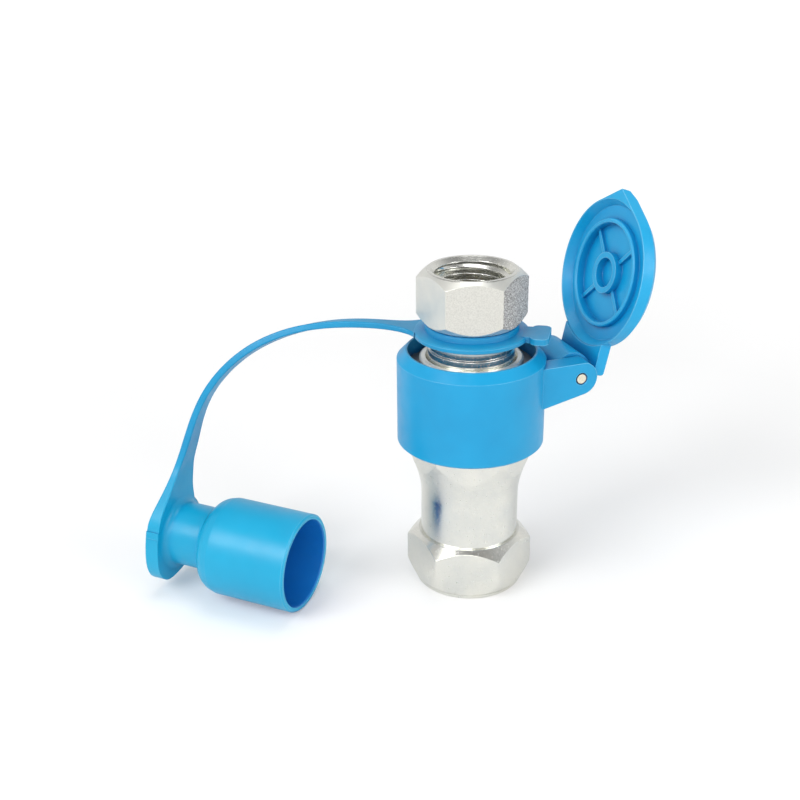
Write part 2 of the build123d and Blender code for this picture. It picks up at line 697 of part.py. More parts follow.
cup_side = Polyline(
    shoulder_points[-1], (cup_radius, -edge_break), (cup_radius - edge_break, 0), (cup_bore + cup_gap, 0),
    (cup_bore, -edge_break), (cup_bore, -cup_straight), (cup_bore - cup_taper, -cup_straight - 2 * cup_taper),
    (cup_bore - cup_taper, -cup_depth), (0, -cup_depth), (0, -cup_length), shoulder_points[0],
)
cup = plug_frame * revolve(Plane.XZ * make_face(shoulder_line + cup_side), axis=Axis.Z)
front_arc = fillet_arc(plug_neck_radius, -cup_length, neck_fillet, 1)
plate_arc = fillet_arc(plug_neck_radius, -plate_front, plate_fillet, -1)
neck_line = Line((plug_neck_radius, plate_fillet - plate_front), (plug_neck_radius, -cup_length - neck_fillet))
neck_ends = Polyline(
    (shoulder_start, -cup_length), (0, -cup_length + edge_break), (0, -plate_front - edge_break),
    (plug_neck_radius, -plate_front - edge_break), (plug_neck_radius + plate_fillet, -plate_front),
)
neck_face = make_face(front_arc + neck_line + plate_arc + neck_ends)
neck_frame = Plane(origin=plug_mouth + plug_up * neck_lift, x_dir=plug_across, z_dir=plug_axis)
cup = cup + neck_frame * revolve(Plane.XZ * neck_face, axis=Axis.Z)

# Outline of the tongue behind the neck, across the plug's axis and up from it
tongue_outline = [
    (-11.6, 6.0), (-12.9, -2.8), (-12.1, -7.2), (-8.9, -11.0), (-4.9, -11.7), (0.0, -11.2),
    (5.6, -9.6), (9.4, -5.6), (10.4, 0.0), (8.8, 6.0),
]
tongue_plane = Plane(origin=plug_mouth - plug_axis * plate_front, x_dir=plug_across, z_dir=-plug_axis)
tongue_side = -1 if tongue_plane.y_dir.Z < 0 else 1
tongue_edge = Spline(*[(across, tongue_side * up) for across, up in tongue_outline])
tongue_lid = Line(tongue_edge @ 1, tongue_edge @ 0)
tongue = extrude(tongue_plane * make_face(tongue_edge + tongue_lid), plate_thickness)

# Upper tongue, level by level: height above the axis, near edge, far edge, thickness and rounding
tongue_levels = [
    (4.0, -12.2, 9.3, 4.13, 0.08),
    (7.5, -10.9, 8.7, 4.0, 0.2),
    (11.0, -8.8, 8.4, 3.45, 0.35),
    (14.5, -5.2, 8.5, 2.8, 0.45),
    (17.5, -2.1, 9.1, 2.35, 0.45),
    (20.0, 0.4, 9.7, 2.1, 0.45),
]
# Strap stations: centre, full width, thickness, and the direction its width points in
stations = [
    ((-82.75, 3.6, 41.6), 7.3, 2.1, (0.36, 0.93, -0.05)),
    ((-79.2, 3.6, 52.0), 5.9, 2.0, (0.30, 0.94, -0.15)),
    ((-76.2, 3.6, 58.2), 5.3, 2.0, (0.24, 0.93, -0.25)),
    ((-70.6, 3.6, 65.6), 4.7, 2.0, (0.20, 0.90, -0.35)),
    ((-61.5, 3.6, 72.9), 4.1, 2.0, (0.12, 0.88, -0.42)),
    ((-48.2, 3.6, 78.2), 3.6, 1.9, (0.0, 0.92, -0.36)),
    ((-34.0, 3.6, 79.75), 3.4, 1.9, (0.0, 1.0, -0.05)),
    ((-24.0, 3.8, 79.1), 4.6, 1.7, (-0.08, 1.0, 0.0)),
    ((-19.0, 3.9, 78.4), 7.4, 1.5, (-0.12, 1.0, 0.0)),
    ((-14.5, 3.2, 78.12), 13.0, 1.46, (-0.15, 1.0, 0.0)),
]
strap_round = 0.45
sections = []
centres = []
for up, near, far, thickness, rounding in tongue_levels:
    centre = plug_mouth - plug_axis * (plate_front + thickness / 2) + plug_across * ((near + far) / 2) + plug_up * up
    centres.append(centre)
    place = Plane(origin=centre, x_dir=plug_across, z_dir=plug_up)
    sections.append(place * RectangleRounded(far - near, thickness, rounding))
strap_line = Spline(*centres, *[station[0] for station in stations])
for centre, width, thickness, across in stations:
    along = (strap_line % strap_line.param_at_point(centre)).normalized()
    side = Vector(*across)
    side = (side - along * side.dot(along)).normalized()
    place = Plane(origin=centre, x_dir=side, z_dir=along)
    sections.append(place * RectangleRounded(width, thickness, strap_round))
strap = loft(sections)

# Ring on the male half's neck, with the pull tab beside it
tether_ring = turned([
    (1.0, tether_bottom), (tether_ring_radius - 0.3, tether_bottom),
    (tether_ring_radius, tether_bottom + 0.3), (tether_ring_radius, tether_top - 0.3),
    (tether_ring_radius - 0.3, tether_top), (tether_lip_radius + 0.1, tether_top + 0.6),
    (tether_lip_radius, tether_lip_top - 0.4), (tether_lip_radius - 0.4, tether_lip_top), (1.0, tether_lip_top),
])
tab_far = tether_ring_radius + tab_reach
tab_face = Pos(tab_far - tab_length / 2, 0) * RectangleRounded(tab_length, tab_width, tab_round)
tab_face = tab_face + Pos(tab_far - tab_length, 0) * Rectangle(tab_length, tab_neck)
tab = Rot(0, 0, tab_turn) * Pos(0, 0, tether_bottom) * extrude(tab_face, tether_ring_thickness + 0.3)
ring_hole = tube(ring_groove_radius + loose_fit, 0, tether_bottom - 1, tether_lip_top + 1)
dust_plug = cup + tongue + (tether_ring + tab + strap - ring_hole)
save(dust_plug, "dust_plug")
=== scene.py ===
import json
import math

import bmesh
import bpy
from mathutils import Matrix, Vector


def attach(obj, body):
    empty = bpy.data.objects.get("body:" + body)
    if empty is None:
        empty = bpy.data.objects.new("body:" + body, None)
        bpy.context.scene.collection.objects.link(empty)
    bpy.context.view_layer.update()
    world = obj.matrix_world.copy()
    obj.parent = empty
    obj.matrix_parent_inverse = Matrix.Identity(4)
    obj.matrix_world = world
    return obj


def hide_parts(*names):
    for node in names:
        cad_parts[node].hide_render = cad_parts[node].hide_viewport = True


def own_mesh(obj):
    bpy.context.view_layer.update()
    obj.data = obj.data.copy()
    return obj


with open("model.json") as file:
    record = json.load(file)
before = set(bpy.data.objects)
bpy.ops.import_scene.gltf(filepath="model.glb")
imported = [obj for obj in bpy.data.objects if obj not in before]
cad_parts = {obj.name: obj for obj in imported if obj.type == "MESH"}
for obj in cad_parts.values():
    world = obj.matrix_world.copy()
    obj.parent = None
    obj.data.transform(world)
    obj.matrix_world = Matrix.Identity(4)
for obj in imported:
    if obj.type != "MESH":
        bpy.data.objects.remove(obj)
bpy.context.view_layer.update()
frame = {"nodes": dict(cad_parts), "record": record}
nodes = frame["nodes"]
MM = 0.001


# Camera at the photograph's place, from a fit to its edges
PITCH = math.radians(23.63)
ROLL = math.radians(-0.632)
LENS = 55.04
SENSOR_WIDTH = 36.0
CLIP_START = 0.01
CAMERA_PLACE = (-20.31, -322.16, 198.36)

forward = Vector((0, math.cos(PITCH), -math.sin(PITCH)))
level_right = Vector((1, 0, 0))
level_up = Vector((0, math.sin(PITCH), math.cos(PITCH)))
right = level_right * math.cos(ROLL) + level_up * math.sin(ROLL)
up = level_up * math.cos(ROLL) - level_right * math.sin(ROLL)
camera_data = bpy.data.cameras.new("view")
camera_data.lens = LENS
camera_data.sensor_width = SENSOR_WIDTH
camera_data.clip_start = CLIP_START
camera = bpy.data.objects.new("view", camera_data)
bpy.context.scene.collection.objects.link(camera)
turn = Matrix((right, up, -forward)).transposed().to_4x4()
camera.matrix_world = Matrix.Translation(Vector(CAMERA_PLACE) * MM) @ turn
bpy.context.scene.camera = camera


# Hinge of the lid, from part.py
ARM_TURN = math.radians(20.27)
PIN_REACH = 28.02
PIN_HEIGHT = 64.74
PIN_PLACE = (
    PIN_REACH * math.cos(ARM_TURN) * MM,
    PIN_REACH * math.sin(ARM_TURN) * MM,
    PIN_HEIGHT * MM,
)
PIN_AXIS = (-math.sin(ARM_TURN), math.cos(ARM_TURN), 0)
# The pin's face is bright up to the first radius and in shade beyond the second
PIN_RIM = (1.34 * MM, 1.42 * MM)


# Cup of the dust plug, from part.py
CUP_TURN = math.radians(-23.3)
CUP_TILT = math.radians(1.2)
CUP_AXIS = (
    math.cos(CUP_TURN) * math.cos(CUP_TILT),
    math.sin(CUP_TURN) * math.cos(CUP_TILT),
    -math.sin(CUP_TILT),
)
CUP_MOUTH = (-48.14 * MM, -18.38 * MM, 14.4 * MM * math.cos(CUP_TILT))
# The cup's inside, which is painted in shade, reaches 0.1 mm beyond its bore and 1 mm beyond its
# floor
INSIDE_RADIUS = 12.85 * MM
INSIDE_DEPTH = 27.8 * MM
# The plug is painted a darker blue from the first of these heights up, fully from the second
STRAP_RISE = (26 * MM, 44 * MM)


# Scales of the noises
PLASTIC_TONE = 45
METAL_TONE = 110
PATCH = 260
RUBBER_GRAIN = 1200
FINE_GRAIN = 1500
TURNING_MARKS = 3000
SAW_PITS = 3300

# Heights of the finest bumps
PLASTIC_BUMP = 0.04 * MM
METAL_BUMP = 0.03 * MM
RUBBER_BUMP = 0.1 * MM
# Radii of the broken edges and of the painted edge highlights
METAL_EDGE = 0.3 * MM
PLASTIC_EDGE = 0.4 * MM
PLUG_EDGE = 0.2 * MM
EDGE_HIGHLIGHT_RADIUS = 0.5 * MM
# How near another face has to be to shelter a place, for the painted shade
SHELTER_REACH = 4 * MM
EDGE_SAMPLES = 8
BUMP_SAMPLES = 6


# Material helpers
def linear(r, g, b):
    """sRGB bytes to the linear colour that Blender's sockets hold."""
    out = []
    for value in (r, g, b):
        value = value / 255
        out.append(value / 12.92 if value <= 0.04045 else ((value + 0.055) / 1.055) ** 2.4)
    return (out[0], out[1], out[2], 1.0)


def grey(value):
    """A linear grey."""
    return (value, value, value, 1.0)


class Look:
    """A short way to write a material's node tree."""

    def __init__(self, name):
        self.material = bpy.data.materials.new(name)
        self.material.use_nodes = True
        self.tree = self.material.node_tree
        self.shader = self.tree.nodes["Principled BSDF"]

    def add(self, kind, **values):
        node = self.tree.nodes.new(kind)
        for key, value in values.items():
            setattr(node, key, value)
        return node

    def link(self, source, target):
        self.tree.links.new(source, target)

    def place(self, stretch=(1, 1, 1)):
        """The point on the piece, with each axis stretched."""
        coords = self.add("ShaderNodeTexCoord")
        mapping = self.add("ShaderNodeMapping")
        mapping.inputs["Scale"].default_value = stretch
        self.link(coords.outputs["Object"], mapping.inputs["Vector"])
        return mapping.outputs["Vector"]

    def noise(self, place, scale, detail=3.0, rough=0.55):
        node = self.add("ShaderNodeTexNoise")
        node.inputs["Scale"].default_value = scale
        node.inputs["Detail"].default_value = detail
        node.inputs["Roughness"].default_value = rough
        self.link(place, node.inputs["Vector"])
        return node.outputs["Fac"]

    def ramp(self, source, stops):
        """Colours at given places between 0 and 1."""
        node = self.add("ShaderNodeValToRGB")
        ramp = node.color_ramp
        ramp.elements[0].position, ramp.elements[0].color = stops[0]
        ramp.elements[1].position, ramp.elements[1].color = stops[-1]
        for place, colour in stops[1:-1]:
            ramp.elements.new(place).color = colour
        self.link(source, node.inputs["Fac"])
        return node.outputs["Color"]

    def tones(self, source, low, high, start=0.35, end=0.65):
        """A noise turned into a tone between two sRGB colours."""
        return self.ramp(source, [(start, linear(*low)), (end, linear(*high))])

    def spread(self, source, low, high, from_low=0.3, from_high=0.7):
        """Map one range of numbers to another."""
        node = self.add("ShaderNodeMapRange")
        node.inputs["From Min"].default_value = from_low
        node.inputs["From Max"].default_value = from_high
        node.inputs["To Min"].default_value = low
        node.inputs["To Max"].default_value = high
        self.link(source, node.inputs["Value"])
        return node.outputs["Result"]

    def above(self, source, start, end):
        """0 below start and 1 above end."""
        return self.spread(source, 0, 1, start, end)

    def below(self, source, start, end):
        """1 below start and 0 above end."""
        return self.spread(source, 1, 0, start, end)

    def arithmetic(self, kind, first, second):
        """One step between two outputs or numbers."""
        node = self.add("ShaderNodeMath", operation=kind)
        for value, target in ((first, node.inputs[0]), (second, node.inputs[1])):
            if isinstance(value, (int, float)):
                target.default_value = value
            else:
                self.link(value, target)
        return node.outputs["Value"]

    def times(self, first, second):
        return self.arithmetic("MULTIPLY", first, second)

    def plus(self, first, second):
        return self.arithmetic("ADD", first, second)

    def minus(self, first, second):
        return self.arithmetic("SUBTRACT", first, second)

    def vector(self, kind, first, second=None):
        """One vector step, with a constant or an output as its second value."""
        node = self.add("ShaderNodeVectorMath", operation=kind)
        self.link(first, node.inputs[0])
        if isinstance(second, tuple):
            node.inputs[1].default_value = second
        elif second is not None:
            self.link(second, node.inputs[1])
        return node.outputs["Vector" if kind in ("SUBTRACT", "CROSS_PRODUCT") else "Value"]

    def from_axis(self, offset, axis):
        """Distance from an axis, for an offset from a point on it."""
        return self.vector("LENGTH", self.vector("CROSS_PRODUCT", offset, axis))

    def blend(self, factor, first, second):
        """Mix two colours by a factor."""
        node = self.add("ShaderNodeMix", data_type="RGBA")
        self.link(factor, node.inputs["Factor"])
        self.link(first, node.inputs["A"])
        self.link(second, node.inputs["B"])
        return node.outputs["Result"]

    def rounded(self, radius, samples):
        """The surface direction with its edges rounded."""
        bevel = self.add("ShaderNodeBevel")
        bevel.samples = samples
        bevel.inputs["Radius"].default_value = radius
        return bevel.outputs["Normal"]

    def bump(self, height, strength, distance, edge=0.0):
        node = self.add("ShaderNodeBump")
        node.inputs["Strength"].default_value = strength
        node.inputs["Distance"].default_value = distance
        self.link(height, node.inputs["Height"])
        if edge:
            self.link(self.rounded(edge, BUMP_SAMPLES), node.inputs["Normal"])
        self.link(node.outputs["Normal"], self.shader.inputs["Normal"])

    def colour(self, output):
        self.link(output, self.shader.inputs["Base Color"])

    def roughness(self, output):
        self.link(output, self.shader.inputs["Roughness"])


# Materials
def plastic(name, low, high, is_plug=False):
    """Soft moulded blue plastic with a satin skin, a painted highlight on its edges and painted
    shade in its hollows.
    """
    m = Look(name)
    broad = m.noise(m.place(), PLASTIC_TONE)
    colour = m.tones(broad, low, high)
    if is_plug:
        # Painted shade: the cup's inside is painted a deeper blue. Higher up, the strap and its ring
        # are painted a darker blue
        offset = m.vector("SUBTRACT", m.place(), CUP_MOUTH)
        behind = m.vector("DOT_PRODUCT", offset, CUP_AXIS)
        cup_shade = m.below(m.from_axis(offset, CUP_AXIS), INSIDE_RADIUS, INSIDE_RADIUS + 0.2 * MM)
        cup_shade = m.times(cup_shade, m.above(behind, -INSIDE_DEPTH, 1 * MM - INSIDE_DEPTH))
        colour = m.blend(cup_shade, colour, m.tones(broad, (14, 112, 194), (20, 122, 204)))
        height = m.add("ShaderNodeSeparateXYZ")
        m.link(m.place(), height.inputs["Vector"])
        strap = m.above(height.outputs["Z"], *STRAP_RISE)
        colour = m.blend(strap, colour, m.tones(broad, (4, 132, 180), (9, 142, 190)))

    # Painted highlight: edges are paler where the rounded direction leaves the true one
    geometry = m.add("ShaderNodeNewGeometry")
    rounded = m.rounded(EDGE_HIGHLIGHT_RADIUS, EDGE_SAMPLES)
    agreement = m.vector("DOT_PRODUCT", rounded, geometry.outputs["Normal"])
    painted_edge = m.spread(agreement, 0.5, 0, 0.86, 0.99)
    if is_plug:
        # On the plug only the cup's mouth has the painted edge highlight
        painted_edge = m.times(painted_edge, m.above(behind, -6 * MM, -3 * MM))

    # Sheltered places get no painted edge highlight and are painted darker, a painted shade in the
    # hollows
    shelter = m.add("ShaderNodeAmbientOcclusion")
    shelter.samples = EDGE_SAMPLES
    shelter.inputs["Distance"].default_value = SHELTER_REACH
    openness = shelter.outputs["AO"]
    painted_edge = m.times(painted_edge, m.above(openness, 0.72, 0.92))
    hollow_shade = m.tones(broad, (0, 92, 160), (2, 100, 168))
    colour = m.blend(m.spread(openness, 0.8, 0, 0.35, 0.88), colour, hollow_shade)
    # The paler blue of the painted edge highlight
    highlight_tone = m.tones(broad, (130, 208, 238), (146, 216, 242))
    m.colour(m.blend(painted_edge, colour, highlight_tone))

    m.roughness(m.spread(m.noise(m.place(), PATCH, 4.0), 0.30, 0.42))
    m.shader.inputs["Specular IOR Level"].default_value = 0.45
    fine = m.noise(m.place(), FINE_GRAIN, 4.0)
    m.bump(fine, 0.12, PLASTIC_BUMP, PLUG_EDGE if is_plug else PLASTIC_EDGE)
    return m.material


def metal(name, low, high, rough_low, rough_high, grain):
    """A worked metal: broad tone changes, a fine grain and slightly broken edges."""
    m = Look(name)
    m.colour(m.tones(m.noise(m.place(), METAL_TONE, 4.0), low, high))
    m.shader.inputs["Metallic"].default_value = 1.0
    fine = m.noise(m.place(), FINE_GRAIN, 4.0, 0.6)
    m.roughness(m.spread(fine, rough_low, rough_high))
    m.bump(fine, grain, METAL_BUMP, METAL_EDGE)
    return m.material


def zinc():
    """Zinc plating over turned and milled steel, with one rougher sawn flat on the upper hexagon."""
    m = Look("zinc_plate")
    coords = m.add("ShaderNodeTexCoord")
    clean = m.tones(m.noise(m.place(), METAL_TONE, 4.0), (224, 225, 220), (236, 235, 227))
    fine = m.noise(m.place(), FINE_GRAIN, 4.0, 0.6)
    turning = m.noise(m.place((0.01, 0.01, 1)), TURNING_MARKS, 2.0)

    # The upper hexagon's flats: how far out, how high and which way they face
    reach = m.vector("LENGTH", m.place((1, 1, 0)))
    split = m.add("ShaderNodeSeparateXYZ")
    m.link(coords.outputs["Object"], split.inputs["Vector"])
    height = split.outputs["Z"]
    outside = m.above(reach, 12.75 * MM, 12.95 * MM)
    upper = m.times(outside, m.above(height, 81.4 * MM, 81.6 * MM))
    facing = coords.outputs["Normal"]
    sawn = m.above(m.vector("DOT_PRODUCT", facing, (0.860, -0.510, 0)), 0.975, 0.995)
    sawn = m.times(sawn, upper)
    front = m.above(m.vector("DOT_PRODUCT", facing, (-0.012, -1.0, 0)), 0.96, 0.99)
    front = m.times(front, upper)

    # The end of the tube that carries the balls, which is duller
    band = m.above(height, 69.6 * MM, 69.9 * MM)
    band = m.times(band, m.below(height, 71.5 * MM, 71.7 * MM))
    tube_end = m.times(band, m.above(reach, 13.0 * MM, 13.1 * MM))

    # Saw marks show as dark pits in a bright face
    pits = m.noise(m.place(), SAW_PITS, 3.0, 0.75)
    speckled = m.ramp(pits, [
        (0.38, linear(74, 68, 62)),
        (0.46, linear(146, 140, 134)),
        (0.54, linear(208, 205, 200)),
        (0.63, linear(250, 248, 243)),
    ])
    faint = m.tones(pits, (202, 201, 194), (224, 223, 216), 0.32, 0.6)
    m.colour(m.blend(sawn, m.blend(front, clean, faint), speckled))

    dull = m.plus(m.times(upper, 0.16), m.times(sawn, 0.45))
    dull = m.plus(dull, m.times(tube_end, 0.6))
    m.link(m.minus(1.0, dull), m.shader.inputs["Metallic"])
    rough = m.plus(m.spread(fine, 0.19, 0.29), m.times(upper, 0.18))
    m.roughness(m.plus(rough, m.times(sawn, 0.25)))
    relief = m.plus(m.times(fine, 0.05), m.times(turning, 0.05))
    relief = m.plus(relief, m.times(m.times(pits, sawn), 3.0))
    m.bump(relief, 0.35, METAL_BUMP, METAL_EDGE)
    return m.material


def pin_steel():
    """Cream zinc on the hinge pin, with its chamfered ends in shade."""
    m = Look("pin_steel")
    fine = m.noise(m.place(), FINE_GRAIN, 4.0)
    bright = m.tones(fine, (214, 208, 186), (230, 225, 206))
    shade = m.tones(fine, (38, 52, 68), (52, 66, 82))
    offset = m.vector("SUBTRACT", m.place(), PIN_PLACE)
    painted_edge = m.above(m.from_axis(offset, PIN_AXIS), *PIN_RIM)
    m.colour(m.blend(painted_edge, bright, shade))
    m.link(m.minus(0.6, m.times(painted_edge, 0.5)), m.shader.inputs["Metallic"])
    m.roughness(m.spread(fine, 0.4, 0.5))
    m.bump(fine, 0.1, METAL_BUMP)
    return m.material


def rubber():
    """Black nitrile rubber."""
    m = Look("nitrile_rubber")
    fine = m.noise(m.place(), RUBBER_GRAIN, 4.0)
    m.colour(m.ramp(fine, [(0.3, grey(0.012)), (0.7, grey(0.02))]))
    m.roughness(m.spread(fine, 0.5, 0.7))
    m.bump(fine, 0.15, RUBBER_BUMP)
    return m.material


def white_plastic():
    """The backup ring's off-white plastic."""
    m = Look("backup_plastic")
    fine = m.noise(m.place(), RUBBER_GRAIN, 3.0)
    m.colour(m.tones(fine, (226, 224, 214), (238, 236, 228), 0.3, 0.7))
    m.roughness(m.spread(fine, 0.35, 0.5))
    m.bump(fine, 0.05, RUBBER_BUMP)
    return m.material


blue = plastic("moulded_blue", (4, 143, 194), (9, 152, 203))
steel = zinc()
looks = {
    "zinc_steel": steel,
    "hard_steel": metal("hardened_steel", (150, 148, 144), (176, 174, 170), 0.28, 0.4, 0.3),
    "ball_steel": metal("ball_steel", (215, 215, 215), (228, 228, 228), 0.06, 0.12, 0.05),
    "spring_steel": metal("spring_steel", (120, 120, 122), (150, 150, 152), 0.3, 0.45, 0.3),
    "valve_brass": metal("turned_brass", (186, 148, 78), (204, 168, 98), 0.26, 0.4, 0.3),
    "seal_rubber": rubber(),
    "backup_plastic": white_plastic(),
    "blue_plastic": blue,
}
own_looks = {
    "hinge_pin": pin_steel(),
    # The lid is a paler copy of the cover's blue: painted light for the light that falls into its
    # inside
    "cover_lid": plastic("lid_blue_lit", (5, 153, 206), (11, 163, 215)),
    "dust_plug": plastic("plug_blue", (6, 154, 196), (14, 163, 205), is_plug=True),
}
for part in frame["record"]["subparts"]:
    item = nodes[part["node"]]
    item.data.materials.clear()
    item.data.materials.append(own_looks.get(part["node"]) or looks[part["material_slot"]])


# Shape helpers
def combine(piece, other, operation):
    """Apply one boolean to a piece's mesh and drop the other object."""
    step = piece.modifiers.new("step", "BOOLEAN")
    step.operation = operation
    step.solver = "EXACT"
    step.object = other
    view = bpy.context.evaluated_depsgraph_get()
    mesh = bpy.data.meshes.new_from_object(piece.evaluated_get(view))
    piece.modifiers.clear()
    piece.data = mesh
    bpy.data.objects.remove(other)


def surface(name, vertices, faces):
    """A mesh object from points in millimetres."""
    mesh = bpy.data.meshes.new(name)
    mesh.from_pydata([tuple(value * MM for value in point) for point in vertices], [], faces)
    mesh.validate()
    piece = bpy.data.objects.new(name, mesh)
    bpy.context.scene.collection.objects.link(piece)
    return piece


def solid(name, vertices, faces):
    """A closed mesh object from points in millimetres, with its faces turned outwards."""
    piece = surface(name, vertices, faces)
    shell = bmesh.new()
    shell.from_mesh(piece.data)
    bmesh.ops.recalc_face_normals(shell, faces=shell.faces)
    shell.to_mesh(piece.data)
    shell.free()
    return piece


def finish_piece(piece, look, body, crease):
    """Smooth a piece up to its creases, give it its look and let it ride on a body."""
    for face in piece.data.polygons:
        face.use_smooth = True
    piece.data.set_sharp_from_angle(angle=math.radians(crease))
    piece.data.materials.clear()
    piece.data.materials.append(look)
    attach(piece, body)


# Threads of both ports: radii and pitch in millimetres, profile heights in pitches
THREAD_CREST = 9.32
THREAD_ROOT = 10.46
THREAD_PITCH = 1.814
THREAD_PROFILE = [
    (THREAD_ROOT, -0.46),
    (THREAD_CREST, -0.11),
    (THREAD_CREST, 0.11),
    (THREAD_ROOT, 0.46),
]
STEPS_PER_TURN = 96
RUN_OUT_STEPS = 30
THREAD_CREASE = 30


def thread(name, bottom, top, body):
    """Helical thread ridges standing inwards from a plain bore."""
    turns = (top - bottom) / THREAD_PITCH - 1
    count = int(turns * STEPS_PER_TURN)
    vertices = []
    for step in range(count + 1):
        angle = 2 * math.pi * step / STEPS_PER_TURN
        height = bottom + THREAD_PITCH / 2 + THREAD_PITCH * step / STEPS_PER_TURN
        fade = min(1.0, step / RUN_OUT_STEPS, (count - step) / RUN_OUT_STEPS)
        for radius, rise in THREAD_PROFILE:
            reach = THREAD_ROOT - (THREAD_ROOT - radius) * fade
            vertices.append((
                reach * math.cos(angle),
                reach * math.sin(angle),
                height + rise * THREAD_PITCH,
            ))
    width = len(THREAD_PROFILE)
    faces = []
    for step in range(count):
        for row in range(width - 1):
            a = step * width + row
            faces.append((a, a + 1, a + 1 + width, a + width))
    finish_piece(surface(name, vertices, faces), steel, body, THREAD_CREASE)


thread("male_port_thread", 81.6, 95.2, "male_half")
thread("female_port_thread", 0.6, 12.8, "female_half")


# Flare of the socket's neck, in millimetres
FLARE_INNER = 13.9
FLARE_LIP = 14.2
FLARE_FOOT = 27.6
FLARE_START = 28.6
FLARE_RADIUS = 14.28
FLARE_GROWTH = 0.0423
FLARE_POWER = 1.706
FLARE_RISE = 0.5
FLARE_COUNT = 33
FLARE_TOP = 45.9
FLARE_REACH = 19.6
FLARE_AROUND = 180
FLARE_CREASE = 16
# The socket's hidden hexagon, its flats 0.02 mm proud of the solid's
HEXAGON_REACH = 18.5
HEXAGON_TURN = -4.7
HEXAGON_HEIGHTS = (20, 50)


def hexagon_bar():
    """A hexagonal prism that cuts the flare off at the socket's flats."""
    points = []
    for height in HEXAGON_HEIGHTS:
        for corner in range(6):
            angle = math.radians(HEXAGON_TURN + 60 * corner)
            points.append((HEXAGON_REACH * math.cos(angle), HEXAGON_REACH * math.sin(angle), height))
    sides = [tuple(range(6)), tuple(range(6, 12))]
    for corner in range(6):
        beside = (corner + 1) % 6
        sides.append((corner, beside, beside + 6, corner + 6))
    return solid("hexagon_bar", points, sides)


def neck_flare():
    """The neck's flare, which runs out into the hexagon under the dust cover."""
    profile = [(FLARE_INNER, FLARE_TOP), (FLARE_INNER, FLARE_FOOT), (FLARE_LIP, FLARE_FOOT)]
    for step in range(FLARE_COUNT):
        height = FLARE_START + FLARE_RISE * step
        growth = FLARE_GROWTH * (height - FLARE_START) ** FLARE_POWER
        profile.append((FLARE_RADIUS + growth, height))
    profile.append((FLARE_REACH, FLARE_TOP))
    vertices = []
    for radius, height in profile:
        for step in range(FLARE_AROUND):
            angle = 2 * math.pi * step / FLARE_AROUND
            vertices.append((radius * math.cos(angle), radius * math.sin(angle), height))
    faces = []
    for row in range(len(profile)):
        start = row * FLARE_AROUND
        after = (row + 1) % len(profile) * FLARE_AROUND
        for step in range(FLARE_AROUND):
            beside = (step + 1) % FLARE_AROUND
            faces.append((start + step, start + beside, after + beside, after + step))
    piece = solid("neck_flare", vertices, faces)
    combine(piece, hexagon_bar(), "INTERSECT")
    finish_piece(piece, steel, "female_half", FLARE_CREASE)


neck_flare()


# Roots of the dust cover's ears, in millimetres: each runs a little into the ear and into the wall
EAR_OUTER = 14.0
EAR_INNER = 8.6
EAR_START = 19.2
WALL_RADIUS = 20.6
WALL_STEPS = 5
EAR_BELOW = 4.9
EAR_ABOVE = 4.7
EAR_LEAN = math.radians(12)
COVER_CREASE = 30
WELD = 0.001


def welded_points(node):
    """A node's mesh with its doubled points joined, in millimetres."""
    shell = bmesh.new()
    shell.from_mesh(nodes[node].data)
    bmesh.ops.remove_doubles(shell, verts=shell.verts, dist=WELD * MM)
    shell.verts.index_update()
    points = [tuple(vertex.co / MM) for vertex in shell.verts]
    faces = [tuple(vertex.index for vertex in face.verts) for face in shell.faces]
    shell.free()
    return points, faces


def ear_root(side):
    """A wedge that fills one ear back to the cover's round wall."""
    outline = [(EAR_START, EAR_INNER), (EAR_START, EAR_OUTER)]
    for step in range(WALL_STEPS + 1):
        across = EAR_OUTER - (EAR_OUTER - EAR_INNER) * step / WALL_STEPS
        outline.append((math.sqrt(WALL_RADIUS ** 2 - across ** 2), across))
    lower = []
    upper = []
    for along, across in outline:
        x = along * math.cos(ARM_TURN) - side * across * math.sin(ARM_TURN)
        y = along * math.sin(ARM_TURN) + side * across * math.cos(ARM_TURN)
        drop = EAR_BELOW / math.cos(EAR_LEAN)
        low = PIN_HEIGHT - drop + (along - PIN_REACH) * math.tan(EAR_LEAN)
        lower.append((x, y, low))
        upper.append((x, y, PIN_HEIGHT + EAR_ABOVE))
    count = len(outline)
    faces = [tuple(range(count)), tuple(range(count, 2 * count))]
    for step in range(count):
        beside = (step + 1) % count
        faces.append((step, beside, beside + count, step + count))
    return solid("ear_root", lower + upper, faces)


def cover_with_ears():
    """The dust cover with both ears run back to its wall."""
    piece = solid("cover_with_ears", *welded_points("dust_cover"))
    for side in (-1, 1):
        combine(piece, ear_root(side), "UNION")
    finish_piece(piece, blue, "sleeve", COVER_CREASE)
    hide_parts("dust_cover")


cover_with_ears()


# Springs, each a copy of its node's mesh riding on a body
def working_spring(node, name, body):
    """A copy of a spring node's mesh that rides on a body, with the node hidden."""
    piece = bpy.data.objects.new(name, nodes[node].data.copy())
    bpy.context.scene.collection.objects.link(piece)
    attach(piece, body)
    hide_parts(node)
    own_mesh(piece)


working_spring(
    "sleeve_spring", "sleeve_coil", "female_half"
)
working_spring(
    "female_valve_spring", "female_valve_coil", "female_half"
)
working_spring(
    "male_valve_spring", "male_valve_coil", "male_half"
)


# Floor, which glows towards its far edges for the camera alone
FLOOR_REACH = 4
FLOOR_GREY = 0.86


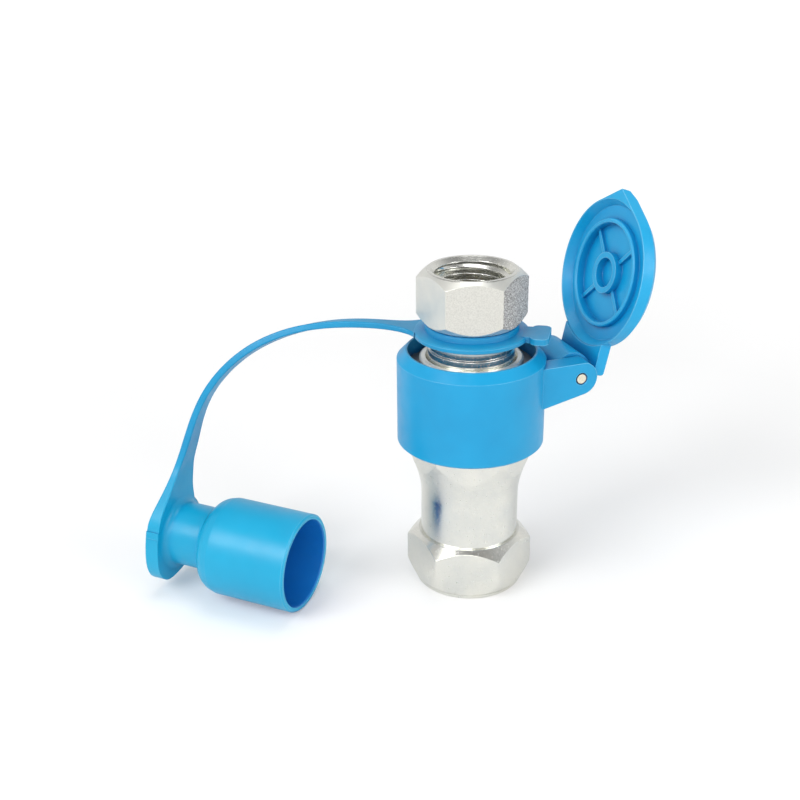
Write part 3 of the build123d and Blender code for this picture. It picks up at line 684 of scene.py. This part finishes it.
def floor_material():
    m = Look("pale_floor")
    m.shader.inputs["Base Color"].default_value = grey(FLOOR_GREY)
    m.shader.inputs["Roughness"].default_value = 0.9
    m.shader.inputs["Specular IOR Level"].default_value = 0.1
    glow = m.add("ShaderNodeEmission")
    away = m.vector("LENGTH", m.place())
    m.link(m.spread(away, 0.1, 0.75, 0.2, 1.2), glow.inputs["Strength"])
    both = m.add("ShaderNodeAddShader")
    path = m.add("ShaderNodeLightPath")
    choose = m.add("ShaderNodeMixShader")
    m.link(m.shader.outputs["BSDF"], both.inputs[0])
    m.link(glow.outputs["Emission"], both.inputs[1])
    m.link(path.outputs["Is Camera Ray"], choose.inputs["Fac"])
    m.link(m.shader.outputs["BSDF"], choose.inputs[1])
    m.link(both.outputs["Shader"], choose.inputs[2])
    m.link(choose.outputs["Shader"], m.tree.nodes["Material Output"].inputs["Surface"])
    return m.material


floor_mesh = bpy.data.meshes.new("floor")
floor_corners = [
    (-FLOOR_REACH, -FLOOR_REACH, 0),
    (FLOOR_REACH, -FLOOR_REACH, 0),
    (FLOOR_REACH, FLOOR_REACH, 0),
    (-FLOOR_REACH, FLOOR_REACH, 0),
]
floor_mesh.from_pydata(floor_corners, [], [(0, 1, 2, 3)])
floor_mesh.materials.append(floor_material())
floor = bpy.data.objects.new("floor", floor_mesh)
bpy.context.scene.collection.objects.link(floor)


# World: a studio that is darker overhead, and plain white for the camera
STUDIO_GREY = 0.80
SHOULDER_GREY = 0.62
CEILING_GREY = 0.30

world = bpy.data.worlds.new("studio")
bpy.context.scene.world = world
world.use_nodes = True
tree = world.node_tree
background = tree.nodes["Background"]
background.inputs["Strength"].default_value = 1.0
where = tree.nodes.new("ShaderNodeTexCoord")
split = tree.nodes.new("ShaderNodeSeparateXYZ")
ceiling = tree.nodes.new("ShaderNodeValToRGB")
stops = ceiling.color_ramp.elements
stops[0].position = 0.0
stops[0].color = grey(STUDIO_GREY)
stops[1].position = 1.0
stops[1].color = grey(CEILING_GREY)
stops.new(0.35).color = grey(STUDIO_GREY)
stops.new(0.60).color = grey(SHOULDER_GREY)
stops.new(0.82).color = grey(CEILING_GREY)
tree.links.new(where.outputs["Generated"], split.inputs["Vector"])
tree.links.new(split.outputs["Z"], ceiling.inputs["Fac"])
tree.links.new(ceiling.outputs["Color"], background.inputs["Color"])
bright = tree.nodes.new("ShaderNodeBackground")
bright.inputs["Color"].default_value = (1, 1, 1, 1)
bright.inputs["Strength"].default_value = 1.0
path = tree.nodes.new("ShaderNodeLightPath")
mix = tree.nodes.new("ShaderNodeMixShader")
tree.links.new(path.outputs["Is Camera Ray"], mix.inputs["Fac"])
tree.links.new(background.outputs["Background"], mix.inputs[1])
tree.links.new(bright.outputs["Background"], mix.inputs[2])
tree.links.new(mix.outputs["Shader"], tree.nodes["World Output"].inputs["Surface"])


# Lamps: sizes and places in metres, power in watts
LAMP_TARGET = Vector((0, 0, 0.05))


def lamp(name, place, width, tall, power):
    """A rectangular lamp aimed at the coupler."""
    data = bpy.data.lights.new(name, "AREA")
    data.shape = "RECTANGLE"
    data.size = width
    data.size_y = tall
    data.energy = power
    item = bpy.data.objects.new(name, data)
    bpy.context.scene.collection.objects.link(item)
    place = Vector(place)
    aim = (LAMP_TARGET - place).to_track_quat("-Z", "Y").to_matrix().to_4x4()
    item.matrix_world = Matrix.Translation(place) @ aim


lamp("key", (-0.75, -0.65, 0.85), 0.6, 0.6, 7.4)
lamp("front", (-0.15, -1.15, 0.62), 0.6, 0.35, 2.8)
lamp("fill", (0.9, -0.6, 0.5), 0.6, 0.6, 4.0)
lamp("top", (0.0, 0.1, 1.1), 0.5, 0.5, 2.4)

bpy.context.scene.view_settings.view_transform = "Standard"
